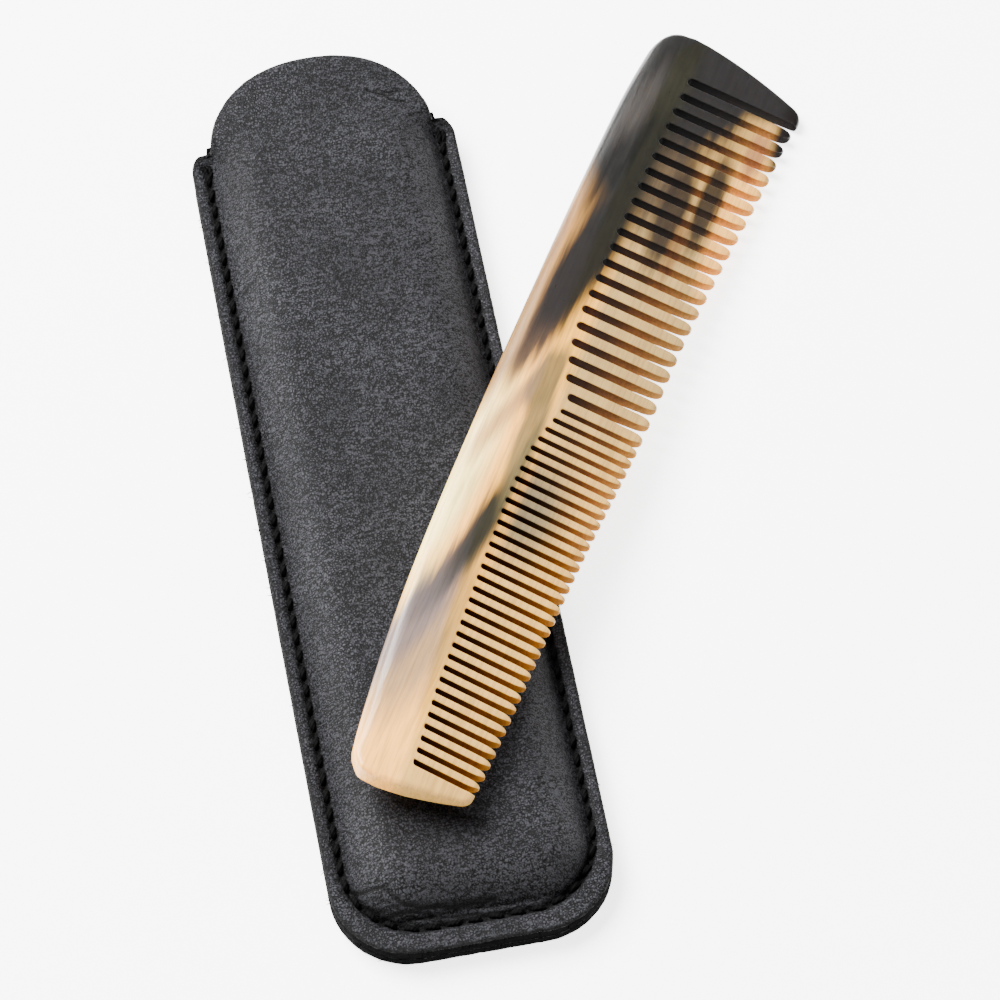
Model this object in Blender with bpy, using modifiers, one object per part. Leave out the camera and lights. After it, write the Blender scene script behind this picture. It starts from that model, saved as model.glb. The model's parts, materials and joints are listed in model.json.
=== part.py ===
"""Horn beard comb lying across its moulded leather sheath.

The sheath rests on z = 0 with its tongue towards +Y. The comb leans from the crown of the
sheath over its right-hand edge, and the tip of its dark end reaches the table.
"""

import math

import bmesh
import bpy
from mathutils import Matrix, Vector

MM = 0.001

# Sheath: two leather panels sewn round three sides
LEATHER = 2.0
PANEL_GAP = 0.3
HALF_WIDTH = 20.4
BOTTOM_Y = -78.5
BOTTOM_RADIUS = 11.5
MOUTH_Y = 56.0
MOUTH_RADIUS = 2.6
SHOULDER_RADIUS = 1.9
TONGUE_HALF_WIDTH = 17.5
TONGUE_START_Y = 52.5
TONGUE_TOP_Y = 69.2
TONGUE_POWER = 2.25
TONGUE_ARCH = 1.2
TONGUE_BLEND = 5.0
POCKET_HEIGHT = 4.3
POCKET_HALF_WIDTH = 17.0
POCKET_BOTTOM_Y = -74.0
POCKET_SLOPE = 4.6

# Seam: one thread on each face, sunk in a half-round stitching groove
SEAM_HALF_WIDTH = 18.1
SEAM_BOTTOM_Y = -75.4
SEAM_RADIUS = 10.8
SEAM_TOP_Y = 54.2
THREAD_RADIUS = 0.35
TOP_GROOVE_RADIUS = 0.85
TOP_THREAD_DROP = 0.12
BACK_GROOVE_RADIUS = 1.05
BACK_THREAD_RISE = 0.38

# Comb: x runs from the fine end to the coarse end, y from the spine to the tooth tips
SPINE_LINE = ((-4.0, 4.4), (-3.6, 2.4), (-2.4, 1.1), (-0.8, 0.2), (2.7, -0.3), (9, -0.95),
              (18, -1.7), (30, -2.3), (45, -2.6), (66, -2.63), (85, -2.45), (103, -2.1),
              (120, -1.5), (130, -0.6), (133, 0.2), (134.7, 1.4), (135.6, 3.0), (135.9, 5.0))
TIP_LINE = ((-2.2, 17.7), (-1.7, 18.25), (-1.1, 18.5), (0.2, 18.65), (3, 18.9), (9, 19.15),
            (18, 19.4), (30, 19.7), (44, 20.3), (64.5, 21.55), (84, 21.9), (101, 23.1),
            (114, 24.2), (126, 24.9), (128.3, 25.3), (129.3, 25.25), (130.1, 24.9), (130.6, 24.4))
FACET_LINE = ((-4, 9.6), (1, 7.9), (7, 6.9), (20, 5.5), (40, 3.7), (66, 3.9), (76, 3.2), (136, 3.4))
FACET_MINIMUM = 3.4
ROOT_LINE = ((0, 8.8), (12, 7.7), (24, 7.2), (40, 6.5), (47, 6.2), (55, 6.6), (60, 7.7),
             (64, 8.8), (66.3, 8.8), (69.5, 7.4), (75, 6.2), (81, 5.7), (88, 5.7), (103, 6.1),
             (121, 6.6), (128, 7.0))
END_BULGE = (-0.35, 0.8)
BODY_HALF_THICKNESS = 2.0
TIP_HALF_THICKNESS = 0.85
EDGE_ROUNDING = ((0.1, 0.62), (0.5, 1.4), (1.3, 1.84), (2.5, 2.0))
END_THINNING = (0.62, 0.86, 0.97)
SLOT_REFERENCE_Y = 8.0
FINE_SLOTS = {"count": 33, "start": -0.1, "pitch": 1.975, "width": 0.85, "lean": 2.5}
COARSE_SLOTS = {"count": 21, "start": 65.6, "pitch": 3.07, "width": 1.35, "lean": 1.4}
TOOTH_POINT_LENGTH = 2.2

# How the comb lies: over the crown of the sheath, with its far corner down on the table
COMB_ORIGIN = (-13.572, -50.229, 15.034)
COMB_TILT = 9.21
COMB_HEADING = 59.16

HORN_COLOUR = (0.62, 0.47, 0.30, 1.0)
FRONT_LEATHER_COLOUR = (0.022, 0.021, 0.024, 1.0)
BACK_LEATHER_COLOUR = (0.018, 0.017, 0.019, 1.0)
NEEDLE_THREAD_COLOUR = (0.012, 0.012, 0.014, 1.0)
BOBBIN_THREAD_COLOUR = (0.016, 0.015, 0.017, 1.0)


def clear_scene():
    for obj in list(bpy.data.objects):
        bpy.data.objects.remove(obj, do_unlink=True)


def new_collection(name):
    collection = bpy.data.collections.new(name)
    bpy.context.scene.collection.children.link(collection)
    return collection


def new_material(name, colour, roughness, subsurface=0.0):
    material = bpy.data.materials.new(name)
    material.use_nodes = True
    shader = material.node_tree.nodes["Principled BSDF"]
    shader.inputs["Base Color"].default_value = colour
    shader.inputs["Roughness"].default_value = roughness
    shader.inputs["Subsurface Weight"].default_value = subsurface
    return material


def new_object(name, data, collection, material=None):
    obj = bpy.data.objects.new(name, data)
    collection.objects.link(obj)
    if material is not None:
        data.materials.append(material)
    return obj


def interpolate(line, x):
    """Height of a line of (x, y) stations at x, held level past its ends."""
    if x <= line[0][0]:
        return line[0][1]
    for (x0, y0), (x1, y1) in zip(line, line[1:]):
        if x <= x1:
            return y0 + (y1 - y0) * (x - x0) / (x1 - x0)
    return line[-1][1]


def ease(value):
    value = max(0.0, min(1.0, value))
    return value * value * (3.0 - 2.0 * value)


def arc(centre, radius, start, end, steps):
    """Points along a circular arc, angles in degrees."""
    points = []
    for i in range(steps + 1):
        angle = math.radians(start + (end - start) * i / steps)
        points.append((centre[0] + radius * math.cos(angle),
                       centre[1] + radius * math.sin(angle)))
    return points


def prism(name, outline, low, high, collection, material=None):
    """Mesh of a filled 2D outline extruded from low to high."""
    curve = bpy.data.curves.new(name, "CURVE")
    curve.dimensions = "2D"
    curve.fill_mode = "BOTH"
    curve.extrude = (high - low) / 2 * MM
    spline = curve.splines.new("POLY")
    spline.points.add(len(outline) - 1)
    for point, (x, y) in zip(spline.points, outline):
        point.co = (x * MM, y * MM, 0.0, 1.0)
    spline.use_cyclic_u = True
    return mesh_from_curve(name, curve, Vector((0, 0, (low + high) / 2 * MM)),
                           collection, material)


def tube(name, path, height, radius, resolution, collection, material=None):
    """Mesh of a round tube along a level path, closed at both ends."""
    curve = bpy.data.curves.new(name, "CURVE")
    curve.dimensions = "3D"
    curve.bevel_depth = radius * MM
    curve.bevel_resolution = resolution
    curve.use_fill_caps = True
    spline = curve.splines.new("POLY")
    spline.points.add(len(path) - 1)
    for point, (x, y) in zip(spline.points, path):
        point.co = (x * MM, y * MM, 0.0, 1.0)
    return mesh_from_curve(name, curve, Vector((0, 0, height * MM)), collection, material)


def mesh_from_curve(name, curve, offset, collection, material):
    holder = bpy.data.objects.new(name + " curve", curve)
    bpy.context.scene.collection.objects.link(holder)
    bpy.context.view_layer.update()
    graph = bpy.context.evaluated_depsgraph_get()
    mesh = bpy.data.meshes.new_from_object(holder.evaluated_get(graph))
    bpy.data.objects.remove(holder, do_unlink=True)
    mesh.name = name
    mesh.materials.clear()
    shape = bmesh.new()
    shape.from_mesh(mesh)
    bmesh.ops.remove_doubles(shape, verts=shape.verts, dist=0.000002)
    bmesh.ops.translate(shape, verts=shape.verts, vec=offset)
    bmesh.ops.recalc_face_normals(shape, faces=shape.faces)
    shape.to_mesh(mesh)
    shape.free()
    return new_object(name, mesh, collection, material)


def boolean(obj, cutter, operation):
    modifier = obj.modifiers.new(cutter.name, "BOOLEAN")
    modifier.solver = "EXACT"
    modifier.operation = operation
    modifier.object = cutter
    cutter.hide_render = True
    cutter.display_type = "WIRE"


def side_and_bottom():
    """Outline of either panel from the top of its left side round to the top of its right."""
    corner_x = HALF_WIDTH - BOTTOM_RADIUS
    corner_y = BOTTOM_Y + BOTTOM_RADIUS
    left = arc((-corner_x, corner_y), BOTTOM_RADIUS, 180, 270, 10)
    right = arc((corner_x, corner_y), BOTTOM_RADIUS, 270, 360, 10)
    return left + right


def front_outline():
    """The front panel steps in at the mouth and runs on past it as a rounded tongue."""
    shoulder_x = HALF_WIDTH - SHOULDER_RADIUS
    shoulder_y = MOUTH_Y - SHOULDER_RADIUS
    right = arc((shoulder_x, shoulder_y), SHOULDER_RADIUS, 0, 75, 4)
    left = arc((-shoulder_x, shoulder_y), SHOULDER_RADIUS, 105, 180, 4)
    rise = TONGUE_TOP_Y - TONGUE_START_Y
    tongue = []
    for i in range(24):
        angle = math.radians(9 + 162 * i / 23)
        x = abs(math.cos(angle)) ** (2 / TONGUE_POWER)
        y = abs(math.sin(angle)) ** (2 / TONGUE_POWER)
        tongue.append((math.copysign(x, math.cos(angle)) * TONGUE_HALF_WIDTH,
                       TONGUE_START_Y + rise * y))
    return side_and_bottom() + right + tongue + left


def back_outline():
    """The back panel stops square at the mouth, with its two corners rounded."""
    corner_x = HALF_WIDTH - MOUTH_RADIUS
    corner_y = MOUTH_Y - MOUTH_RADIUS
    right = arc((corner_x, corner_y), MOUTH_RADIUS, 0, 90, 4)
    left = arc((-corner_x, corner_y), MOUTH_RADIUS, 90, 180, 4)
    return side_and_bottom() + right + left


def seam_path():
    """The row of stitches from the mouth down one side, along the bottom and up again."""
    corner_x = SEAM_HALF_WIDTH - SEAM_RADIUS
    corner_y = SEAM_BOTTOM_Y + SEAM_RADIUS
    sides = 6
    path = []
    for i in range(sides):
        path.append((-SEAM_HALF_WIDTH, SEAM_TOP_Y + (corner_y - SEAM_TOP_Y) * i / sides))
    path += arc((-corner_x, corner_y), SEAM_RADIUS, 180, 270, 8)
    path += arc((corner_x, corner_y), SEAM_RADIUS, 270, 360, 8)
    for i in range(1, sides + 1):
        path.append((SEAM_HALF_WIDTH, corner_y + (SEAM_TOP_Y - corner_y) * i / sides))
    return path


def pocket_rise(x, y):
    """How far the front panel is moulded up over the pocket, and arched along its tongue."""
    across = ease((POCKET_HALF_WIDTH - abs(x)) / POCKET_SLOPE)
    along = ease((y - POCKET_BOTTOM_Y) / POCKET_SLOPE)
    pocket = POCKET_HEIGHT * across * along
    arch = POCKET_HEIGHT - TONGUE_ARCH * (x / TONGUE_HALF_WIDTH) ** 2
    free = ease((y - MOUTH_Y + TONGUE_BLEND / 2) / TONGUE_BLEND)
    return pocket + (arch - pocket) * free


def build_front_panel(parts, cutters, material):
    """A sheet moulded over the pocket, thickened, then cut to its outline."""
    slope = [i * POCKET_SLOPE / 6 for i in range(7)]
    columns = [POCKET_HALF_WIDTH - d for d in slope] + [8.0, 3.0]
    columns = [-22.0] + [-c for c in columns] + columns[::-1] + [22.0]
    rows = [-81.0] + [POCKET_BOTTOM_Y + d for d in slope] + [-44, -15, 15, 42]
    rows += [MOUTH_Y + TONGUE_BLEND * d for d in (-0.5, -0.3, -0.1, 0.1, 0.3, 0.5)] + [64, 72.0]
    shape = bmesh.new()
    bmesh.ops.create_grid(shape, x_segments=len(columns) - 1, y_segments=len(rows) - 1, size=1)
    for vertex in shape.verts:
        column = round((vertex.co.x + 1) / 2 * (len(columns) - 1))
        row = round((vertex.co.y + 1) / 2 * (len(rows) - 1))
        x, y = columns[column], rows[row]
        height = LEATHER + PANEL_GAP + pocket_rise(x, y)
        vertex.co = Vector((x, y, height)) * MM
    mesh = bpy.data.meshes.new("sheath_front_panel")
    shape.to_mesh(mesh)
    shape.free()
    panel = new_object("sheath_front_panel", mesh, parts, material)
    thickness = panel.modifiers.new("Leather", "SOLIDIFY")
    thickness.thickness = LEATHER * MM
    thickness.offset = 1.0
    thickness.use_even_offset = True
    outline = prism("front outline cutter", front_outline(), -2, 14, cutters)
    boolean(panel, outline, "INTERSECT")
    groove = tube("front groove cutter", groove_path(), LEATHER * 2 + PANEL_GAP + 0.05,
                  TOP_GROOVE_RADIUS, 1, cutters)
    boolean(panel, groove, "DIFFERENCE")
    return panel


def groove_path():
    """The seam path, drawn out a little so the groove runs past both ends of the thread."""
    path = seam_path()
    path[0] = (path[0][0], SEAM_TOP_Y + 0.5)
    path[-1] = (path[-1][0], SEAM_TOP_Y + 0.5)
    return path


def build_back_panel(parts, cutters, material):
    """A flat sheet cut to its outline, with the stitching groove in its resting face."""
    panel = prism("sheath_back_panel", back_outline(), 0, LEATHER, parts, material)
    groove = tube("back groove cutter", groove_path(), -0.06, BACK_GROOVE_RADIUS, 1, cutters)
    boolean(panel, groove, "DIFFERENCE")
    return panel


def comb_stations():
    """Plan positions and half-thicknesses of the points across the comb at each station."""
    stations = []
    last = len(SPINE_LINE) - 1
    for i, (spine, tip) in enumerate(zip(SPINE_LINE, TIP_LINE)):
        start, end = Vector(spine), Vector(tip)
        length = (end - start).length
        facet = max(interpolate(FACET_LINE, start.x) - start.y, FACET_MINIMUM) / length
        from_end = min(i, last - i)
        thinning = END_THINNING[from_end] if from_end < len(END_THINNING) else 1.0
        nearness = max(0.0, 1.0 - from_end / 4)
        bulge = END_BULGE[0 if i < last / 2 else 1] * nearness
        row = [(d / length, h) for d, h in EDGE_ROUNDING]
        row += [(facet, BODY_HALF_THICKNESS), (1.0, TIP_HALF_THICKNESS)]
        points = []
        for along, half in row:
            place = start + (end - start) * along
            place.x += bulge * 4 * along * (1 - along)
            points.append((place, half * thinning))
        stations.append((start, points))
    return stations


def build_comb(parts, cutters, material):
    """A blank lofted from end to end, with every slot sawn out of it by one cutter."""
    stations = comb_stations()
    shape = bmesh.new()
    rings = []
    for nose, points in stations:
        top = [shape.verts.new((p.x * MM, -p.y * MM, h * MM)) for p, h in points]
        low = [shape.verts.new((p.x * MM, -p.y * MM, -h * MM)) for p, h in points]
        spine = shape.verts.new((nose.x * MM, -nose.y * MM, 0))
        rings.append([spine] + top + low[::-1])
    for ring, following in zip(rings, rings[1:]):
        for j in range(len(ring)):
            k = (j + 1) % len(ring)
            shape.faces.new((ring[j], ring[k], following[k], following[j]))
    for ring in (rings[0], rings[-1]):
        half = len(ring) // 2
        shape.faces.new((ring[0], ring[1], ring[-1]))
        for j in range(1, half):
            shape.faces.new((ring[j], ring[j + 1], ring[-j - 1], ring[-j]))
    bmesh.ops.recalc_face_normals(shape, faces=shape.faces)
    mesh = bpy.data.meshes.new("comb")
    shape.to_mesh(mesh)
    shape.free()
    comb = new_object("comb", mesh, parts, material)
    slots = prism("comb slot cutter", slot_outline(), -3.5, 3.5, cutters)
    placing = comb_placing()
    comb.matrix_world = placing
    slots.matrix_world = placing
    boolean(comb, slots, "DIFFERENCE")
    return comb


def comb_placing():
    tilt = Matrix.Rotation(math.radians(COMB_TILT), 4, "Y")
    heading = Matrix.Rotation(math.radians(COMB_HEADING), 4, "Z")
    return Matrix.Translation(Vector(COMB_ORIGIN) * MM) @ tilt @ heading


def all_slots():
    """Centre, half-width, pitch and lean of every slot, from the fine end to the coarse end."""
    slots = []
    for group in (FINE_SLOTS, COARSE_SLOTS):
        for i in range(group["count"]):
            centre = group["start"] + group["width"] / 2 + i * group["pitch"]
            slots.append((centre, group["width"] / 2, group["lean"]))
    return slots


def slot_outline():
    """Outline of everything sawn away: a finger for each slot, joined beyond the tips."""
    outline = []
    slots = all_slots()
    sides = []
    for centre, half, lean in slots:
        slope = -math.tan(math.radians(lean))
        root = interpolate(ROOT_LINE, centre)
        tip = interpolate(TIP_LINE, centre + slope * 12)
        finger = []
        for x, y in arc((0, root + half), half, 180, 360, 4):
            finger.append((centre + x + slope * (y - SLOT_REFERENCE_Y), y))
        start = tip - TOOTH_POINT_LENGTH
        shift = slope * (start - SLOT_REFERENCE_Y)
        sides.append(((centre - half + shift, start), (centre + half + shift, start)))
        outline.append((sides[-1][0], finger, sides[-1][1]))
    points = []
    for i, (left, finger, right) in enumerate(outline):
        if i == 0:
            points += [(left[0] - 6, 32.0), (left[0] - 6, 21.0), (left[0] - 0.5, 19.2)]
        points.append(left)
        points += finger
        points.append(right)
        if i + 1 < len(outline):
            points += tooth_point(right, outline[i + 1][0])
        else:
            points += [(right[0] + 0.5, 26.3), (right[0] + 6, 26.3), (right[0] + 6, 32.0)]
    return [(x, -y) for x, y in points]


def tooth_point(left, right):
    """The rounded point of the tooth between two slots."""
    half = (right[0] - left[0]) / 2
    middle = (left[0] + right[0]) / 2
    base = (left[1] + right[1]) / 2
    points = []
    for across, along in ((0.85, 0.5), (0.5, 0.86), (-0.5, 0.86), (-0.85, 0.5)):
        points.append((middle - across * half, base + along * TOOTH_POINT_LENGTH))
    points.insert(2, (middle, base + TOOTH_POINT_LENGTH))
    return points


def build_threads(parts, needle, bobbin):
    path = seam_path()
    top = LEATHER * 2 + PANEL_GAP - TOP_THREAD_DROP
    tube("needle_thread", path, top, THREAD_RADIUS, 0, parts, needle)
    tube("bobbin_thread", path, BACK_THREAD_RISE, THREAD_RADIUS, 0, parts, bobbin)


def main():
    clear_scene()
    parts = new_collection("beard_comb")
    cutters = new_collection("beard_comb_cutters")
    horn = new_material("polished horn", HORN_COLOUR, 0.3, 0.1)
    front = new_material("front leather", FRONT_LEATHER_COLOUR, 0.5)
    back = new_material("back leather", BACK_LEATHER_COLOUR, 0.6)
    needle = new_material("needle thread", NEEDLE_THREAD_COLOUR, 0.7)
    bobbin = new_material("bobbin thread", BOBBIN_THREAD_COLOUR, 0.7)
    build_comb(parts, cutters, horn)
    build_front_panel(parts, cutters, front)
    build_back_panel(parts, cutters, back)
    build_threads(parts, needle, bobbin)


main()
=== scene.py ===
"""A beard comb of polished horn lying across its moulded black leather sheath."""

import json
import math
import random

import bmesh
import bpy
import numpy as np
from mathutils import Matrix, Vector, noise

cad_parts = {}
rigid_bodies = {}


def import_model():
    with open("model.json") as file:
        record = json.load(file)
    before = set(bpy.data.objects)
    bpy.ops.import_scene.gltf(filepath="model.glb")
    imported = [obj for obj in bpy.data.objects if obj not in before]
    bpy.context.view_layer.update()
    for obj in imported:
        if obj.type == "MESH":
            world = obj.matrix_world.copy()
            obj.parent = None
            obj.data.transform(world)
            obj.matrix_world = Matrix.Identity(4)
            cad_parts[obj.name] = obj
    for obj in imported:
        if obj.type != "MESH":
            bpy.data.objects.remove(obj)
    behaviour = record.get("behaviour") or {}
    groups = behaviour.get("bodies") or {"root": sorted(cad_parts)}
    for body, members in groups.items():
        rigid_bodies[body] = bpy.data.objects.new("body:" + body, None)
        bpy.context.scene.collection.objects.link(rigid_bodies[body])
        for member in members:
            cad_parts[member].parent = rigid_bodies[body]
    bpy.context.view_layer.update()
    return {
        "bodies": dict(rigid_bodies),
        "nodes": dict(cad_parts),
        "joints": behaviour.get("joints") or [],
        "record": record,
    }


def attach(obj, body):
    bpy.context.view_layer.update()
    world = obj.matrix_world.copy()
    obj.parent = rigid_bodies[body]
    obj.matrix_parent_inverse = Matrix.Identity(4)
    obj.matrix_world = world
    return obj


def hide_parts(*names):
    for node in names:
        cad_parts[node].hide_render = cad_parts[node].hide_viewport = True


MM = 0.001
WELD = 0.000002

# Camera, paper and surroundings
CAMERA_PLACE = (-46.357, -331.780, 620.332)
CAMERA_LOOK = (0.088169, 0.461118, -0.882948)
CAMERA_LENS = 170.59
CAMERA_SENSOR = 36.0
FLOOR_SIZE = 6.0
FLOOR_DROP = 0.05
PAPER_GLOW = 3.4
WORLD_STRENGTH = 0.32

# Comb, in its own frame and in millimetres: x runs from the fine end to the coarse end, and
# depth from the spine side to the tips
SPINE_LINE = ((-4.0, 4.4), (-3.6, 2.4), (-2.4, 1.1), (-0.8, 0.2), (2.7, -0.3), (9, -0.95),
              (18, -1.7), (30, -2.3), (45, -2.6), (66, -2.63), (85, -2.45), (103, -2.1),
              (120, -1.5), (130, -0.6), (133, 0.2), (134.7, 1.4), (135.6, 3.0), (135.9, 5.0))
TIP_LINE = ((-2.2, 17.7), (-1.7, 18.25), (-1.1, 18.5), (0.2, 18.65), (3, 18.9), (9, 19.15),
            (18, 19.4), (30, 19.7), (44, 20.3), (64.5, 21.55), (84, 21.9), (101, 23.1),
            (114, 24.2), (126, 24.9), (128.3, 25.3), (129.3, 25.25), (130.1, 24.9), (130.6, 24.4))
FACET_LINE = ((-4, 9.6), (1, 7.9), (7, 6.9), (20, 5.5), (40, 3.9), (66, 3.9), (76, 3.2), (136, 3.6))
ROOT_LINE = ((0, 8.8), (12, 7.7), (24, 7.2), (40, 6.5), (47, 6.2), (55, 6.6), (60, 7.7),
             (64, 8.8), (66.3, 8.8), (69.5, 7.4), (75, 6.2), (81, 5.7), (88, 5.7), (103, 6.1),
             (121, 6.6), (128, 7.0))
LEAN_LINE = ((-3.51, -0.135), (-0.2, 0.0437), (60, 0.0437), (70, 0.0244), (128.4, 0.0244),
             (135.08, 0.273))
BULGE_LINE = ((-3.51, -0.35), (0.5, 0.0), (126, 0.0), (135.08, 0.8))
FINE_SLOTS = (33, -0.1, 1.975, 0.85)
COARSE_SLOTS = (21, 65.6, 3.07, 1.35)
LEAN_DEPTH = 8.0
FLAT_DEPTH = 24.0
FLAT_FACET = 6.0
BODY_HALF = 2.0
TIP_HALF = 0.85
POINT_LENGTH = 2.2
SPINE_ROUND = 2.5
SPINE_POWER = 2.6
SQUARE_LENGTH = 6.0
EDGE_ROUND = 0.8
EDGE_SHARE = 0.72
NOSE_ROUND = 0.9
NOSE_SHARE = 0.45
LEAST_FACET_WIDTH = 3.4
FACET_LEAD = 0.25
FACET_BLEND = 0.6
RIM_ROUNDING = 0.3
CUT_LENGTH = 30.0
CUT_HEIGHT = 8.0
FINE_END_CUTS = (0.06, 0.18, 0.36, 0.6, 0.9, 1.4, 2.0, 2.7)
COARSE_END_CUTS = (0.06, 0.18, 0.36, 0.6, 0.9, 1.4, 2.0, 2.8, 3.7, 4.7, 5.7)
DEPTH_CUTS = (0.05, 0.15, 0.3, 0.55, 0.9, 1.4, 2.1, 3, 4, 5.2, 6.0, 6.8, 7.8, 9, 11, 13.5, 16,
              18.5, 20.6, 21.6, 22.1, 22.6, 23.0, 23.35, 23.65, 23.85)
COMB_ORIGIN = (-13.572, -50.229, 15.034)
COMB_TILT = 9.21
COMB_HEADING = 59.16

# Sheath, in millimetres, with the opening towards +y
LEATHER = 2.0
PANEL_GAP = 0.3
FRONT_TOP = 2 * LEATHER + PANEL_GAP
HALF_WIDTH = 20.4
BOTTOM_Y = -78.5
BOTTOM_RADIUS = 11.5
MOUTH_Y = 56.0
MOUTH_RADIUS = 3.4
SHOULDER_RADIUS = 1.9
TONGUE_HALF_WIDTH = 17.5
TONGUE_START_Y = 52.5
TONGUE_TOP_Y = 69.2
TONGUE_POWER = 2.25
TONGUE_ARCH = 1.2
TONGUE_BLEND = 5.0
POCKET_HEIGHT = 4.3
POCKET_HALF_WIDTH = 17.2
POCKET_BOTTOM_Y = -73.6
POCKET_SLOPE = 7.4
EDGE_STEPS = (0, 0.1, 0.25, 0.45, 0.7, 1.0, 1.35, 1.7)
RAGGED = 0.07
SAG = 0.10

# Seam and its thread
SEAM_HALF_WIDTH = 18.1
SEAM_BOTTOM_Y = -74.9
SEAM_RADIUS = 10.8
SEAM_TOP_Y = 54.2
SIDE_PITCH = 2.84
BOTTOM_PITCH = 3.05
FIRST_STITCH = 1.2
LAST_STITCH = 0.9
HALF_HOLE_GAP = 1.15
STITCH_LENGTH = 2.2
THREAD_RADIUS = 0.43
STITCH_TURN = -13
TURN_SPREAD = 6
FRONT_THREAD_HEIGHT = FRONT_TOP - 0.2
BACK_THREAD_HEIGHT = 0.38
END_THREAD_RADIUS = 0.33
RIM_FIBRES = 84


# Small tools -----------------------------------------------------------------

def deselect():
    bpy.ops.object.select_all(action="DESELECT")


def start_on(obj):
    deselect()
    obj.select_set(True)
    bpy.context.view_layer.objects.active = obj


def line_value(line, x):
    xs, ys = zip(*line)
    return np.interp(x, xs, ys)


def ease(value):
    value = np.clip(value, 0.0, 1.0)
    return value * value * (3.0 - 2.0 * value)


def hump(distance, width):
    """A soft hump of height 1 that fades with the distance from its middle."""
    return np.exp(-(distance / width) ** 2)


def smooth_points(points, steps=8):
    """Points of a smooth curve through the given ones."""
    points = np.array(points, float)
    padded = np.vstack([2 * points[0] - points[1], points, 2 * points[-1] - points[-2]])
    t = np.linspace(0, 1, steps, endpoint=False)[:, None]
    run = []
    for a, b, c, d in zip(padded, padded[1:], padded[2:], padded[3:]):
        run.append(0.5 * (2 * b + (c - a) * t + (2 * a - 5 * b + 4 * c - d) * t ** 2
                          + (3 * b - a - 3 * c + d) * t ** 3))
    return np.vstack(run + [points[-1:]])


def arc(centre, radius, start, end, steps):
    angles = np.radians(np.linspace(start, end, steps + 1))
    return np.stack([centre[0] + radius * np.cos(angles), centre[1] + radius * np.sin(angles)], 1)


def places_along(path):
    """Distance along a path to each of its points."""
    return np.concatenate([[0], np.cumsum(np.linalg.norm(np.diff(path, axis=0), axis=1))])


def nearest(points, path):
    """Distance from each point to a dense path, and the place along it, both in millimetres."""
    along = places_along(path)
    distance = np.empty(len(points))
    place = np.empty(len(points))
    for i in range(0, len(points), 4000):
        part = points[i:i + 4000]
        gap = np.linalg.norm(part[:, None, :] - path[None, :, :], axis=2)
        closest = gap.argmin(1)
        distance[i:i + 4000] = gap.min(1)
        place[i:i + 4000] = along[closest]
    return distance, place


def dense(path, step=0.15):
    """The same path with a point every step."""
    path = np.array(path, float)
    along = places_along(path)
    places = np.arange(0, along[-1], step)
    return np.stack([np.interp(places, along, path[:, 0]), np.interp(places, along, path[:, 1])], 1)


def points_of(obj):
    co = np.empty(len(obj.data.vertices) * 3)
    obj.data.vertices.foreach_get("co", co)
    return co.reshape(-1, 3)


def put_points(obj, co):
    obj.data.vertices.foreach_set("co", np.ascontiguousarray(co, float).ravel())
    obj.data.update()


def cloud(points, scale, seed, octaves=2):
    """Soft noise between about -1 and 1 at each point; scale is its size in millimetres."""
    shift = Vector((seed * 7.31, seed * 3.77, seed * 1.93))
    return np.array([noise.fractal(Vector((x / scale, y / scale, 0)) + shift, 1.0, 2.0, octaves)
                     for x, y in points])


def apply_transform():
    bpy.ops.object.transform_apply(location=True, rotation=True, scale=True)


def duplicate(obj):
    """A copy of an object, with a mesh of its own."""
    made = obj.copy()
    made.data = obj.data.copy()
    bpy.context.scene.collection.objects.link(made)
    return made


def apply_modifier(obj, kind, **settings):
    start_on(obj)
    modifier = obj.modifiers.new(kind.title(), kind)
    for name, value in settings.items():
        setattr(modifier, name, value)
    bpy.ops.object.modifier_apply(modifier=modifier.name)


def select_edges(obj, test):
    """Selects the edges that pass a test, and stays in edit mode."""
    bpy.ops.object.mode_set(mode="EDIT")
    bpy.ops.mesh.select_mode(type="EDGE")
    bpy.ops.mesh.select_all(action="DESELECT")
    shape = bmesh.from_edit_mesh(obj.data)
    for edge in shape.edges:
        if test(edge):
            edge.select_set(True)
    bmesh.update_edit_mesh(obj.data)


def bisect_at(obj, cuts):
    """Cuts the whole mesh across at each (place, normal)."""
    start_on(obj)
    bpy.ops.object.mode_set(mode="EDIT")
    for place, normal in cuts:
        bpy.ops.mesh.select_all(action="SELECT")
        bpy.ops.mesh.bisect(plane_co=place, plane_no=normal)
    bpy.ops.object.mode_set(mode="OBJECT")


def join(objs, name):
    deselect()
    for obj in objs:
        obj.select_set(True)
    bpy.context.view_layer.objects.active = objs[0]
    bpy.ops.object.join()
    objs[0].name = objs[0].data.name = name
    return objs[0]


def smooth(obj, angle):
    start_on(obj)
    bpy.ops.object.shade_smooth_by_angle(angle=math.radians(angle))


def finish_piece(obj, body, slot, *nodes):
    obj.data.name = obj.name
    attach(obj, body)
    if nodes:
        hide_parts(*nodes)


# Camera, floor and light -----------------------------------------------------

def add_camera():
    camera = bpy.data.objects.new("camera", bpy.data.cameras.new("camera"))
    bpy.context.scene.collection.objects.link(camera)
    camera.data.lens = CAMERA_LENS
    camera.data.sensor_width = CAMERA_SENSOR
    camera.data.clip_start = 0.01
    turn = Vector(CAMERA_LOOK).to_track_quat("-Z", "Y")
    camera.matrix_world = (Matrix.Translation(Vector(CAMERA_PLACE) * MM)
                           @ turn.to_matrix().to_4x4())
    bpy.context.scene.camera = camera


def add_light(name, place, size, power):
    """A white rectangular light, its place and size in metres, aimed at the origin."""
    light = bpy.data.lights.new(name, "AREA")
    light.shape = "RECTANGLE"
    light.size, light.size_y = size
    light.energy = power
    obj = bpy.data.objects.new(name, light)
    bpy.context.scene.collection.objects.link(obj)
    obj.matrix_world = (Matrix.Translation(Vector(place))
                        @ (-Vector(place)).to_track_quat("-Z", "Y").to_matrix().to_4x4())


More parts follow.
